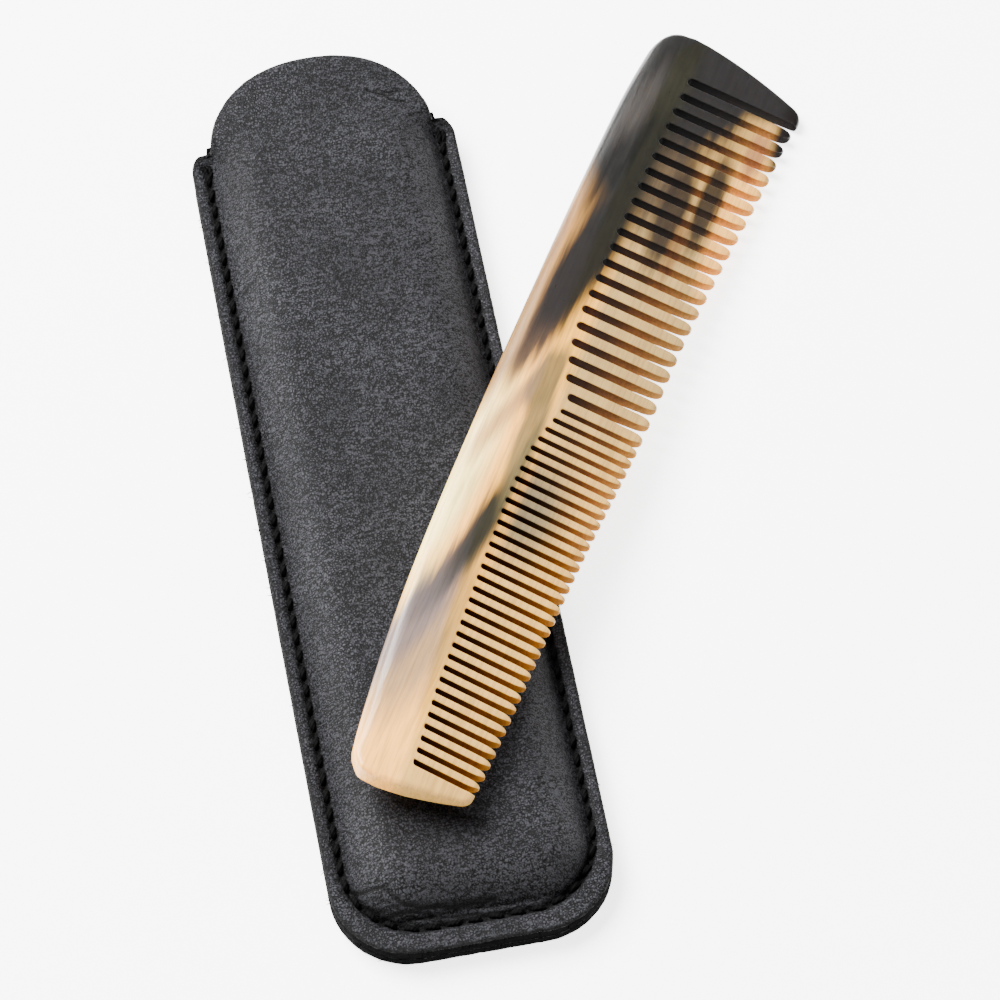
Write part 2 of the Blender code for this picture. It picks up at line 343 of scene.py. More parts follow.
def add_surroundings(floor_finish):
    deselect()
    bpy.ops.mesh.primitive_plane_add(size=FLOOR_SIZE, location=(0, 0, -FLOOR_DROP * MM))
    floor = bpy.context.object
    floor.name = "floor"
    floor.data.materials.append(floor_finish)
    add_light("softbox", place=(-0.48, 0.55, 0.88), size=(0.8, 0.8), power=94.0)
    add_light("overhead fill", place=(0.25, -0.10, 1.3), size=(1.6, 1.6), power=5.0)
    world = bpy.data.worlds.new("studio")
    world.use_nodes = True
    background = world.node_tree.nodes["Background"]
    background.inputs["Color"].default_value = (1, 1, 1, 1)
    background.inputs["Strength"].default_value = WORLD_STRENGTH
    bpy.context.scene.world = world


# Finishes --------------------------------------------------------------------

def colour(code):
    """Linear colour of an sRGB hex code."""
    parts = [int(code[i:i + 2], 16) / 255 for i in (1, 3, 5)]
    linear = [p / 12.92 if p <= 0.04045 else ((p + 0.055) / 1.055) ** 2.4 for p in parts]
    return (*linear, 1.0)


def node(tree, kind, inputs=None, **settings):
    """Adds a node with its settings, and sets or links its inputs."""
    made = tree.nodes.new("ShaderNode" + kind)
    for name, value in settings.items():
        setattr(made, name, value)
    for name, value in (inputs or {}).items():
        if isinstance(value, bpy.types.NodeSocket):
            tree.links.new(value, made.inputs[name])
        else:
            made.inputs[name].default_value = value
    return made


def new_finish(name):
    finish = bpy.data.materials.new(name)
    finish.use_nodes = True
    tree = finish.node_tree
    return finish, tree, tree.nodes["Principled BSDF"]


def ramp(tree, fac, *stops):
    """A colour ramp through (place, colour) stops."""
    made = node(tree, "ValToRGB", {"Fac": fac})
    made.color_ramp.interpolation = "EASE"
    while len(made.color_ramp.elements) < len(stops):
        made.color_ramp.elements.new(1.0)
    for element, (place, value) in zip(made.color_ramp.elements, stops):
        element.position = place
        element.color = value if isinstance(value, tuple) else (value, value, value, 1.0)
    return made.outputs["Color"]


def times(tree, under, over, amount=1.0):
    """One colour multiplied by another."""
    return node(tree, "MixRGB", {"Fac": amount, "Color1": under, "Color2": over},
                blend_type="MULTIPLY").outputs["Color"]


def floor_paper():
    # White seamless paper: matt, with the faintest tooth.
    finish, tree, shader = new_finish("white seamless paper")
    place = node(tree, "TexCoord").outputs["Object"]
    tooth = node(tree, "TexNoise", {"Vector": place, "Scale": 900.0, "Detail": 2.0})
    tint = ramp(tree, tooth.outputs["Fac"], (0.3, colour("#F4F4F4")), (0.7, colour("#F8F8F8")))
    tree.links.new(tint, shader.inputs["Base Color"])
    shader.inputs["Roughness"].default_value = 0.9
    shader.inputs["Specular IOR Level"].default_value = 0.1
    shader.inputs["Emission Color"].default_value = (1, 1, 1, 1)
    shader.inputs["Emission Strength"].default_value = PAPER_GLOW
    return finish


def black_leather(name, base, high, grain, roughness):
    # Full-grain calf, drum-dyed black and wet-moulded: fine pebbles of about 0.4 mm, short
    # creases across the body, and a soft sheen on the tops of the pebbles.
    finish, tree, shader = new_finish(name)
    place = node(tree, "TexCoord").outputs["Object"]
    wander = node(tree, "TexNoise", {"Vector": place, "Scale": 450.0, "Detail": 2.0})
    bent = node(tree, "MixRGB", {"Fac": 0.0006, "Color1": place, "Color2": wander.outputs["Color"]},
                blend_type="ADD")
    pebbles = node(tree, "TexVoronoi", {"Vector": bent.outputs["Color"], "Scale": 2500.0,
                                        "Randomness": 1.0}, feature="DISTANCE_TO_EDGE")
    domes = ramp(tree, pebbles.outputs["Distance"], (0.0, 0.0), (0.5, 1.0))
    across = node(tree, "Mapping", {"Vector": bent.outputs["Color"],
                                    "Scale": (1000.0, 2600.0, 1200.0),
                                    "Rotation": (0, 0, math.radians(-6))})
    creases = node(tree, "TexNoise", {"Vector": across.outputs["Vector"], "Scale": 1.0,
                                      "Detail": 4.0, "Roughness": 0.7, "Distortion": 0.8})
    pores = node(tree, "TexNoise", {"Vector": place, "Scale": 2600.0, "Detail": 3.0})
    patches = node(tree, "TexNoise", {"Vector": place, "Scale": 90.0, "Detail": 3.0})
    relief = node(tree, "MixRGB", {"Fac": 0.68, "Color1": domes, "Color2": creases.outputs["Fac"]})
    relief = node(tree, "MixRGB", {"Fac": 0.3, "Color1": relief.outputs["Color"],
                                   "Color2": pores.outputs["Fac"]})
    raised = ramp(tree, relief.outputs["Color"], (0.33, 0.0), (0.54, 1.0))
    lump = node(tree, "Bump", {"Height": raised, "Strength": grain, "Distance": 0.13 * MM})
    tint = ramp(tree, raised, (0.05, colour(base)), (0.95, colour(high)))
    # Painted shade: the colour darkens in the seam's groove and in the creases, where shade falls,
    # and is also darker along the cut rim
    shade_and_rim_darkening = node(tree, "Attribute", attribute_name="shade_and_rim_darkening").outputs["Fac"]
    ripples_and_painted_shade = ramp(tree, shade_and_rim_darkening, (0.0, 1.0), (0.9, 0.04))
    shade = ramp(tree, patches.outputs["Fac"], (0.3, 0.7), (0.7, 1.0))
    tint_with_painted_shade = times(tree, times(tree, tint, ripples_and_painted_shade), shade)
    rough = node(tree, "MapRange", {"Value": creases.outputs["Fac"], "To Min": roughness - 0.06,
                                    "To Max": roughness + 0.1})
    tree.links.new(tint_with_painted_shade, shader.inputs["Base Color"])
    tree.links.new(rough.outputs["Result"], shader.inputs["Roughness"])
    tree.links.new(lump.outputs["Normal"], shader.inputs["Normal"])
    shader.inputs["Specular IOR Level"].default_value = 0.11
    shader.inputs["IOR"].default_value = 1.5
    return finish


def raw_edge():
    # The knife-cut edge of the same hide, dyed through but not burnished: matt and fibrous.
    finish, tree, shader = new_finish("raw cut edge of black leather")
    place = node(tree, "TexCoord").outputs["Object"]
    layers = node(tree, "Mapping", {"Vector": place, "Scale": (700.0, 700.0, 2600.0)})
    fibres = node(tree, "TexNoise", {"Vector": layers.outputs["Vector"], "Scale": 1.0,
                                     "Detail": 5.0, "Roughness": 0.7})
    tint = ramp(tree, fibres.outputs["Fac"], (0.3, colour("#010101")), (0.75, colour("#070707")))
    lump = node(tree, "Bump", {"Height": fibres.outputs["Fac"], "Strength": 0.9,
                               "Distance": 0.3 * MM})
    tree.links.new(tint, shader.inputs["Base Color"])
    tree.links.new(lump.outputs["Normal"], shader.inputs["Normal"])
    shader.inputs["Roughness"].default_value = 0.9
    shader.inputs["Specular IOR Level"].default_value = 0.01
    return finish


def waxed_thread(name):
    # Three-ply linen thread, waxed black: matt, with the plies twisted about 0.5 mm apart.
    finish, tree, shader = new_finish(name)
    place = node(tree, "TexCoord").outputs["Object"]
    turned = node(tree, "Mapping", {"Vector": place, "Rotation": (0, 0, math.radians(40))})
    plies = node(tree, "TexWave", {"Vector": turned.outputs["Vector"], "Scale": 600.0,
                                   "Distortion": 1.5, "Detail": 1.0})
    fuzz = node(tree, "TexNoise", {"Vector": place, "Scale": 5000.0, "Detail": 3.0})
    tint = ramp(tree, plies.outputs["Fac"], (0.1, colour("#010101")), (0.9, colour("#060606")))
    height = node(tree, "MixRGB", {"Fac": 0.3, "Color1": plies.outputs["Color"],
                                   "Color2": fuzz.outputs["Color"]})
    lump = node(tree, "Bump", {"Height": height.outputs["Color"], "Strength": 0.7,
                               "Distance": 0.12 * MM})
    tree.links.new(tint, shader.inputs["Base Color"])
    tree.links.new(lump.outputs["Normal"], shader.inputs["Normal"])
    shader.inputs["Roughness"].default_value = 0.8
    shader.inputs["Specular IOR Level"].default_value = 0.05
    return finish


# Clouds of colour in the horn, each laid over the ones before it. Each row gives the middle
# (lengthwise place and depth), the half-sizes, the angle, the colour, the strength and how far
# in from its rim the colour is full.
HORN_BASE = "#F7B04F"
BODY_CLOUDS = (
    ((17, 2), (20, 9), 10, "#917453", 0.95, 0.7),
    ((22, 1.2), (18, 4.4), 16, "#685955", 0.95, 0.7),
    ((32, 3.2), (17, 3.2), 16, "#4C4442", 0.95, 0.7),
    ((41, 4.9), (17, 2.6), 8, "#262320", 1.0, 0.65),
    # The next cloud, near white along the spine, is partly the horn's pale cream and partly a
    # painted highlight
    ((46, -1.2), (28, 4.4), 3, "#FFE28E", 1.0, 0.7),
    ((57, 0.6), (13, 2.4), 15, "#B98854", 0.85, 0.9),
    ((64, 3.0), (9, 1.6), 15, "#9A7048", 0.7, 0.9),
    ((58, 5.8), (15, 2.4), 0, "#816950", 0.95, 0.5),
    ((52, 6.6), (13, 1.4), 2, "#5C5142", 0.85, 0.6),
    ((68, 4.8), (9, 2.8), 8, "#765F46", 0.95, 0.5),
    ((77, 1.5), (18, 3.5), 11, "#332927", 0.95, 0.6),
    ((90, 3.2), (25, 5.4), 9, "#1B1716", 1.0, 0.55),
    ((128, 5.0), (48, 16.0), 3, "#171615", 1.0, 0.5),
    ((74, -2.2), (22, 1.9), 0, "#87653C", 1.0, 0.6),
    ((92, -1.9), (15, 1.6), 3, "#6A4A2B", 0.9, 0.8),
    ((120, 1.6), (13, 2.6), 8, "#36322F", 0.95, 0.9),
    ((112, 3.6), (16, 0.9), 7, "#070707", 0.7, 0.9),
    ((104, 0.6), (14, 0.8), 7, "#090808", 0.6, 0.9),
    ((126, 5.5), (9, 3.2), 0, "#201F1E", 0.9, 0.6))
TOOTH_BASE = "#C0954D"
TOOTH_CLOUDS = (
    ((46, 10), (15, 8), 0, "#585140", 0.9, 0.8),
    ((84, 14), (36, 16), 0, "#9A7E4C", 0.9, 0.6),
    ((113, 8.6), (21, 4.6), 0, "#2A2522", 0.9, 0.55),
    ((104, 12.5), (17, 3.2), 0, "#141010", 0.95, 0.6),
    ((108, 17.3), (14, 2.8), 0, "#13100F", 0.95, 0.6),
    ((98, 15.0), (9, 1.8), 0, "#6E4C26", 0.8, 0.7),
    ((130, 10), (22, 12.5), 0, "#181615", 1.0, 0.5),
    ((106, 21.6), (20, 3.4), 0, "#D89E4C", 1.0, 0.55),
    ((120, 21.0), (7, 2.4), 0, "#8A5E3C", 0.9, 0.6))
# The dark end's last teeth have crisp borders
END_CLOUDS = (
    ((133, 16), (8, 24), 0, "#181616", 1.0, 0.35),
    ((126, 25.6), (12, 4.2), 0, "#0C0706", 1.0, 0.5))


def cow_horn(name, sawn):
    # Cow horn, pressed flat, sawn and polished: translucent keratin, cream at one end and
    # charcoal at the other, with smoky streaks that follow the fibres. The walls of the saw
    # cuts stay matt, and their colour carries painted shade: dark brown deep in the slots,
    # lightening towards the tips.
    finish, tree, shader = new_finish(name)
    place = node(tree, "TexCoord").outputs["Object"]
    turn = comb_placing().to_euler()
    own = node(tree, "Mapping", {"Vector": place, "Location": Vector(COMB_ORIGIN) * MM,
                                 "Rotation": turn, "Scale": (MM, MM, MM)}, vector_type="TEXTURE")
    own = own.outputs["Vector"]
    # Everything below is in the comb's own millimetres.
    fibre = node(tree, "Mapping", {"Vector": own, "Rotation": (0, 0, math.radians(12)),
                                   "Scale": (0.05, 0.9, 0.5)})
    drift = node(tree, "TexNoise", {"Vector": fibre.outputs["Vector"], "Scale": 1.0, "Detail": 4.0,
                                    "Roughness": 0.55})
    soft = node(tree, "Mapping", {"Vector": own, "Scale": (0.12, 0.35, 0.3)})
    cloudy = node(tree, "TexNoise", {"Vector": soft.outputs["Vector"], "Scale": 1.0, "Detail": 2.0})
    push = node(tree, "Math", {0: drift.outputs["Fac"], 1: 0.5}, operation="SUBTRACT")
    lengthwise = node(tree, "Math", {0: push.outputs[0], 1: 6.0}, operation="MULTIPLY")
    crosswise = node(tree, "Math", {0: push.outputs[0], 1: 2.0}, operation="MULTIPLY")
    push = node(tree, "CombineXYZ", {"X": lengthwise.outputs[0], "Y": crosswise.outputs[0]})
    warped = node(tree, "VectorMath", {0: own, 1: push.outputs["Vector"]}, operation="ADD")
    warped = warped.outputs["Vector"]

    def blot(under, source, centre, size, angle, tint, strength, full):
        """Lays a soft oval of colour over what is under it."""
        x, depth = centre
        frame = node(tree, "Mapping", {"Vector": source, "Location": (x, -depth, 0),
                                       "Rotation": (0, 0, math.radians(-angle)),
                                       "Scale": (size[0], size[1], 40.0)}, vector_type="TEXTURE")
        oval = node(tree, "TexGradient", {"Vector": frame.outputs["Vector"]},
                    gradient_type="SPHERICAL")
        mask = ramp(tree, oval.outputs["Fac"], (0.0, 0.0), (full, strength))
        return node(tree, "MixRGB", {"Fac": mask, "Color1": under,
                                     "Color2": colour(tint)}).outputs["Color"]

    body = colour(HORN_BASE)
    for cloud_row in BODY_CLOUDS:
        body = blot(body, warped, *cloud_row)
    teeth = colour(TOOTH_BASE)
    for cloud_row in TOOTH_CLOUDS:
        teeth = blot(teeth, warped, *cloud_row)
    for cloud_row in END_CLOUDS:
        teeth = blot(teeth, own, *cloud_row)
    split = node(tree, "SeparateXYZ", {"Vector": own})
    depth = node(tree, "Math", {0: split.outputs["Y"], 1: -1.0}, operation="MULTIPLY")
    past_root = node(tree, "MapRange", {"Value": depth.outputs[0], "From Min": 6.4,
                                        "From Max": 9.2}, interpolation_type="SMOOTHSTEP")
    # The facet that thins the comb towards its teeth shows a duller, yellower face: partly the
    # horn's own tone, partly painted shade standing in for the facet's slight turn
    facet = node(tree, "Attribute", attribute_name="facet").outputs["Fac"]
    facet_tint_and_shade = node(tree, "MixRGB", {"Fac": facet, "Color1": (1, 1, 1, 1),
                                 "Color2": (0.84, 0.84, 0.5, 1)}).outputs["Color"]
    tone = node(tree, "MixRGB", {"Fac": past_root.outputs["Result"],
                                 "Color1": times(tree, body, facet_tint_and_shade),
                                 "Color2": teeth}).outputs["Color"]
    # Fine fibre lines along the length
    lines = node(tree, "Mapping", {"Vector": own, "Rotation": (0, 0, math.radians(14)),
                                   "Scale": (0.11, 2.6, 1.0)})
    lines = node(tree, "TexNoise", {"Vector": lines.outputs["Vector"], "Scale": 1.0,
                                    "Detail": 5.0, "Roughness": 0.65})
    lines = ramp(tree, lines.outputs["Fac"], (0.36, 0.5), (0.6, 1.12))
    tone = times(tree, tone, lines, 0.42)
    mottle = ramp(tree, cloudy.outputs["Fac"], (0.3, 0.88), (0.7, 1.05))
    tone = times(tree, tone, mottle, 0.8)
    if sawn:
        # Painted shade on the saw-cut walls: darkest deep in the slots, lighter towards the tips
        along_tooth = node(tree, "MapRange", {"Value": depth.outputs[0], "From Min": 8.0,
                                              "From Max": 22.0}, interpolation_type="SMOOTHSTEP")
        through = ramp(tree, along_tooth.outputs["Result"], (0.0, colour("#5A3A1E")),
                       (0.5, colour("#B48C5C")), (1.0, colour("#DCC096")))
        tone = times(tree, tone, through)
    tree.links.new(tone, shader.inputs["Base Color"])
    scratch = node(tree, "Mapping", {"Vector": own, "Rotation": (0, 0, math.radians(70)),
                                     "Scale": (0.6, 9.0, 2.0)})
    scratch = node(tree, "TexNoise", {"Vector": scratch.outputs["Vector"], "Scale": 1.0,
                                      "Detail": 3.0})
    rough = node(tree, "MapRange", {"Value": scratch.outputs["Fac"],
                                    "To Min": 0.6 if sawn else 0.22,
                                    "To Max": 0.8 if sawn else 0.42})
    lump = node(tree, "Bump", {"Height": scratch.outputs["Fac"], "Strength": 0.08,
                               "Distance": 0.1 * MM})
    tree.links.new(rough.outputs["Result"], shader.inputs["Roughness"])
    tree.links.new(lump.outputs["Normal"], shader.inputs["Normal"])
    shader.inputs["IOR"].default_value = 1.54
    shader.inputs["Specular IOR Level"].default_value = 0.05 if sawn else 0.3
    shader.inputs["Subsurface Weight"].default_value = 0.3
    shader.inputs["Subsurface Radius"].default_value = (1.0, 0.55, 0.28)
    shader.inputs["Subsurface Scale"].default_value = 1.0 * MM
    shader.inputs["Coat Weight"].default_value = 0.0 if sawn else 0.08
    shader.inputs["Coat Roughness"].default_value = 0.12
    return finish


# Comb ------------------------------------------------------------------------

def comb_placing():
    tilt = Matrix.Rotation(math.radians(COMB_TILT), 4, "Y")
    heading = Matrix.Rotation(math.radians(COMB_HEADING), 4, "Z")
    return Matrix.Translation(Vector(COMB_ORIGIN) * MM) @ tilt @ heading


def slot_places():
    """Centre and half-width of every slot."""
    places = []
    for count, start, pitch, width in (FINE_SLOTS, COARSE_SLOTS):
        places += [(start + width / 2 + i * pitch, width / 2) for i in range(count)]
    return places


def depth_edges(x):
    """Depth of the spine, the facet line and the tips where a lengthwise place x crosses them."""
    spine, tips = smooth_points(SPINE_LINE), smooth_points(TIP_LINE)
    lean = line_value(LEAN_LINE, x)
    edges = []
    for line in (spine, tips):
        place = line[:, 0] + lean[:, None] * (line[:, 1] - LEAN_DEPTH) - x[:, None]
        first = np.clip((place < 0).sum(1), 1, len(line) - 1)
        rows = np.arange(len(x))
        low, high = place[rows, first - 1], place[rows, first]
        part = np.clip(-low / np.maximum(high - low, 1e-6), 0, 1)
        edges.append(line[first - 1, 1] + (line[first, 1] - line[first - 1, 1]) * part)
    facet = np.maximum(line_value(FACET_LINE, x), edges[0] + LEAST_FACET_WIDTH)
    return edges[0], facet, edges[1]


def tooth_centres():
    """Centre and half-width of every tooth between two slots."""
    slots = slot_places()
    return np.array([((a + ha + b - hb) / 2, (b - hb - a - ha) / 2)
                     for (a, ha), (b, hb) in zip(slots, slots[1:])])


def rounded(distance, radius, least):
    """Share of the full thickness near a rounded edge, never under a least share."""
    return least + (1 - least) * np.sqrt(1 - (1 - np.clip(distance / radius, 0, 1)) ** 2)


def shape_comb(flat):
    """Bends the flat blank, in millimetres, to the comb's real outline and thickness.

    Also gives how far each point lies past the facet's line, from 0 to 1.
    """
    x, depth, height = flat[:, 0].copy(), -flat[:, 1], flat[:, 2]
    spine, facet, tip = depth_edges(x)
    upper = np.minimum(depth, FLAT_FACET) / FLAT_FACET
    lower = np.maximum(depth - FLAT_FACET, 0) / (FLAT_DEPTH - FLAT_FACET)
    real = spine + (facet - spine) * upper + (tip - facet) * lower
    teeth = tooth_centres()
    which = np.abs(x[:, None] - teeth[None, :, 0]).argmin(1)
    centre, half = teeth[which].T
    inside = np.abs(x - centre) <= half + 0.3
    point = np.clip(1 - (tip - real) / POINT_LENGTH, 0, 1)
    narrow = np.sqrt(np.maximum(1 - point ** 2, 0.02))
    x = np.where(inside, centre + (x - centre) * narrow, x)
    lean = line_value(LEAN_LINE, flat[:, 0])
    share = np.clip((real - spine) / (tip - spine), 0, 1)
    bulge = line_value(BULGE_LINE, flat[:, 0]) * 4 * share * (1 - share)
    placed = x - lean * (real - LEAN_DEPTH) + bulge
    plan = np.stack([placed, real], 1)
    near_spine, _ = nearest(plan, dense(smooth_points(SPINE_LINE), 0.1))
    from_end = np.minimum(flat[:, 0] - LEAN_LINE[0][0], LEAN_LINE[-1][0] - flat[:, 0])
    pillow = (1 - (1 - np.clip(near_spine / SPINE_ROUND, 0.01, 1)) ** SPINE_POWER) ** 0.5
    square = rounded(near_spine, EDGE_ROUND, EDGE_SHARE)
    profile = square + (pillow - square) * ease(from_end / SQUARE_LENGTH)
    taper = BODY_HALF + (TIP_HALF - BODY_HALF) * lower
    nose = rounded(tip - real, NOSE_ROUND, NOSE_SHARE)
    end = rounded(from_end, EDGE_ROUND, EDGE_SHARE)
    half = taper * profile * nose * end
    past_facet = ease((real - facet + FACET_LEAD) / FACET_BLEND)
    return np.stack([placed, -real, height / BODY_HALF * half], 1), past_facet


def make_comb(polished, sawn):
    first, last = LEAN_LINE[0][0], LEAN_LINE[-1][0]
    deselect()
    bpy.ops.mesh.primitive_cube_add(size=1, location=((first + last) / 2, -FLAT_DEPTH / 2, 0),
                                    scale=(last - first, FLAT_DEPTH, 2 * BODY_HALF))
    comb = bpy.context.object
    comb.name = "comb_horn"
    apply_transform()
    # A saw cut for every slot: a bar with a round inner end, shaped once for each width
    cutters = []
    patterns = {}
    for centre, half in slot_places():
        if half not in patterns:
            deselect()
            bpy.ops.mesh.primitive_cube_add(size=1, location=(0, -CUT_LENGTH / 2, 0),
                                            scale=(2 * half, CUT_LENGTH, CUT_HEIGHT))
            apply_transform()
            pattern = bpy.context.object
            select_edges(pattern, lambda e: all(v.co.y > -1 for v in e.verts)
                         and abs(e.verts[0].co.z - e.verts[1].co.z) > 1)
            bpy.ops.mesh.bevel(offset=half * 0.97, segments=5, affect="EDGES")
            bpy.ops.object.mode_set(mode="OBJECT")
            patterns[half] = pattern
        cutter = duplicate(patterns[half])
        _, facet, tip = (float(v[0]) for v in depth_edges(np.array([centre])))
        root = float(line_value(ROOT_LINE, centre))
        flat_root = FLAT_FACET + (root - facet) / (tip - facet) * (FLAT_DEPTH - FLAT_FACET)
        cutter.data.transform(Matrix.Translation((centre, -flat_root, 0)))
        cutters.append(cutter)
    for pattern in patterns.values():
        bpy.data.objects.remove(pattern, do_unlink=True)
    cutter = join(cutters, "saw cuts")
    apply_modifier(comb, "BOOLEAN", operation="DIFFERENCE", solver="EXACT", object=cutter)
    bpy.data.objects.remove(cutter, do_unlink=True)
    # Soften the rims of the slots and the ends of the teeth, as the polishing wheel does
    start_on(comb)
    select_edges(comb, lambda e: len(e.link_faces) == 2
                 and all(v.co.y < -FLAT_FACET - 0.5 and first + 0.5 < v.co.x < last - 0.5
                         for v in e.verts)
                 and abs(abs(e.link_faces[0].normal.z) - abs(e.link_faces[1].normal.z)) > 0.9)
    bpy.ops.mesh.bevel(offset=RIM_ROUNDING, segments=3, affect="EDGES", clamp_overlap=True)
    bpy.ops.mesh.select_all(action="SELECT")
    bpy.ops.mesh.quads_convert_to_tris(quad_method="BEAUTY", ngon_method="BEAUTY")
    bpy.ops.object.mode_set(mode="OBJECT")
    columns = [first + d for d in FINE_END_CUTS] + [last - d for d in COARSE_END_CUTS]
    columns += list(tooth_centres()[:, 0])
    bisect_at(comb, [((x, 0, 0), (1, 0, 0)) for x in columns]
              + [((0, -depth, 0), (0, 1, 0)) for depth in DEPTH_CUTS])
    walls = [face.index for face in comb.data.polygons
             if abs(face.normal.z) < 0.2 and face.center.y < -FLAT_FACET
             and first + 1 < face.center.x < last - 1 and face.center.y > -FLAT_DEPTH + 0.05]
    shaped, past_facet = shape_comb(points_of(comb))
    put_points(comb, shaped * MM)
    facet = comb.data.attributes.new("facet", "FLOAT", "POINT")
    facet.data.foreach_set("value", past_facet)
    comb.data.materials.append(polished)
    comb.data.materials.append(sawn)
    for index in walls:
        comb.data.polygons[index].material_index = 1
    comb.data.transform(comb_placing())
    start_on(comb)
    bpy.ops.object.mode_set(mode="EDIT")
    bpy.ops.mesh.select_all(action="SELECT")
    bpy.ops.mesh.remove_doubles(threshold=WELD)
    bpy.ops.mesh.dissolve_degenerate(threshold=WELD)
    bpy.ops.mesh.normals_make_consistent(inside=False)
    bpy.ops.object.mode_set(mode="OBJECT")
    smooth(comb, 50)
    apply_modifier(comb, "WEIGHTED_NORMAL", keep_sharp=True, weight=60)
    finish_piece(comb, "comb", "horn", "comb")


# Sheath ----------------------------------------------------------------------

def corner_width(y):
    """Half-width of either panel from its bottom edge to the mouth."""
    centre = BOTTOM_Y + BOTTOM_RADIUS
    below = np.minimum(y - centre, 0)
    return (HALF_WIDTH - BOTTOM_RADIUS) + np.sqrt(np.maximum(BOTTOM_RADIUS ** 2 - below ** 2, 0))


def mouth_inset(y, radius):
    """How far a rounded corner at the mouth stands in from the straight side."""
    past = np.clip(y - MOUTH_Y + radius, 0, radius)
    return radius - np.sqrt(np.maximum(radius ** 2 - past ** 2, 0))


def front_width(y):
    rise = np.clip((y - TONGUE_START_Y) / (TONGUE_TOP_Y - TONGUE_START_Y), 0, 1)
    tongue = TONGUE_HALF_WIDTH * (1 - rise ** TONGUE_POWER) ** (1 / TONGUE_POWER)
    sides = corner_width(y) - mouth_inset(y, SHOULDER_RADIUS)
    return np.where(y < MOUTH_Y - 0.05, sides, np.maximum(tongue, 1.2))


def back_width(y):
    return corner_width(y) - mouth_inset(y, MOUTH_RADIUS)


def pocket_rise(x, y):
    """How far the front panel is moulded up over the pocket, and arched along its tongue."""
    across = np.clip((POCKET_HALF_WIDTH - np.abs(x)) / POCKET_SLOPE, 0, 1)
    along = np.clip((y - POCKET_BOTTOM_Y) / POCKET_SLOPE, 0, 1)
    inward = 1 - np.clip(np.hypot(1 - across, 1 - along), 0, 1)
    pocket = POCKET_HEIGHT * (1 - (1 - inward) ** 2.3)
    arch = POCKET_HEIGHT - TONGUE_ARCH * (x / TONGUE_HALF_WIDTH) ** 2
    free = ease((y - MOUTH_Y + TONGUE_BLEND / 2) / TONGUE_BLEND)
    return pocket + (arch - pocket) * free


def seam_path():
    corner_x = SEAM_HALF_WIDTH - SEAM_RADIUS
    corner_y = SEAM_BOTTOM_Y + SEAM_RADIUS
    return np.vstack([[(-SEAM_HALF_WIDTH, SEAM_TOP_Y)],
                      arc((-corner_x, corner_y), SEAM_RADIUS, 180, 270, 24),
                      arc((corner_x, corner_y), SEAM_RADIUS, 270, 360, 24),
                      [(SEAM_HALF_WIDTH, SEAM_TOP_Y)]])


def stitch_places():
    """Distances along the seam of the middles of the stitches."""
    side = SEAM_TOP_Y - SEAM_BOTTOM_Y - SEAM_RADIUS
    turn = math.pi / 2 * SEAM_RADIUS
    total = 2 * side + 2 * turn + 2 * (SEAM_HALF_WIDTH - SEAM_RADIUS)
    places, at = [], FIRST_STITCH
    while at < total - LAST_STITCH:
        places.append(at)
        at += BOTTOM_PITCH if side < at < total - side else SIDE_PITCH
    return np.array(places)


def panel_columns(half_width):
    """Places across a panel, from -1 to 1, closest together near its two edges."""
    insets = list(EDGE_STEPS) + [2.0 + 0.3 * i for i in range(8)]
    insets += [4.4 + 0.36 * i for i in range(38)] + [18.6, 19.5]
    right = [1 - inset / half_width for inset in insets]
    return np.array([-c for c in right] + [0.0] + right[::-1])


def make_panel(name, width, rows, top, base_height, leather, edge):
    """A sheet laid out to its outline, raised to its moulded shape and given its thickness.

    Also gives how many points its grain side has, and where they lie across and along it.
    """
    columns = panel_columns(HALF_WIDTH)
    deselect()
    bpy.ops.mesh.primitive_grid_add(x_subdivisions=len(columns) - 1, y_subdivisions=len(rows) - 1,
                                    size=2, location=(0, 0, 0))
    panel = bpy.context.object
    panel.name = name
    co = points_of(panel)
    column = np.rint((co[:, 0] + 1) / 2 * (len(columns) - 1)).astype(int)
    row = np.rint((co[:, 1] + 1) / 2 * (len(rows) - 1)).astype(int)
    y = rows[row]
    x = columns[column] * width(y)
    put_points(panel, np.stack([x, y, base_height + top(x, y)], 1) * MM)
    count = len(co)
    apply_modifier(panel, "SOLIDIFY", thickness=LEATHER * MM, offset=-1.0, use_even_offset=True,
                   use_quality_normals=True)
    panel.data.materials.append(leather)
    panel.data.materials.append(edge)
    for face in panel.data.polygons:
        if min(face.vertices) < count <= max(face.vertices):
            face.material_index = 1
    return panel, count, x, y


def rim_path(width, rows):
    """The outline of a panel as a closed dense path."""
    w = width(rows)
    right = np.stack([w, rows], 1)
    left = np.stack([-w[::-1], rows[::-1]], 1)
    return dense(np.vstack([right, left, right[:1]]), 0.12)


def round_over(distance, radius):
    """How far a rounded rim has dropped at each distance from it."""
    return radius * (1 - np.sqrt(1 - (1 - np.clip(distance / radius, 0, 1)) ** 2))


def front_rows():
    low = [BOTTOM_Y + d for d in EDGE_STEPS]
    middle = list(np.arange(BOTTOM_Y + 2.0, BOTTOM_Y + 12.0, 0.2))
    middle += list(np.arange(BOTTOM_Y + 12.0, MOUTH_Y - SHOULDER_RADIUS, 0.52))
    shoulder = [MOUTH_Y - SHOULDER_RADIUS * d for d in (1, 0.8, 0.6, 0.42, 0.27, 0.15, 0.06, 0.027)]
    tongue = list(np.arange(MOUTH_Y - 0.04, TONGUE_TOP_Y - 1.6, 0.27))
    top = [TONGUE_TOP_Y - d for d in (1.3, 0.95, 0.65, 0.4, 0.22, 0.1, 0.03, 0)]
    return np.array(low + middle + shoulder + tongue + top)


def back_rows():
    low = [BOTTOM_Y + d for d in EDGE_STEPS]
    middle = list(np.arange(BOTTOM_Y + 2.05, MOUTH_Y - MOUTH_RADIUS, 1.2))
    top = [MOUTH_Y - MOUTH_RADIUS * d for d in (1, 0.8, 0.62, 0.45, 0.3, 0.18, 0.09, 0.03, 0)]
    return np.array(low + middle + top)


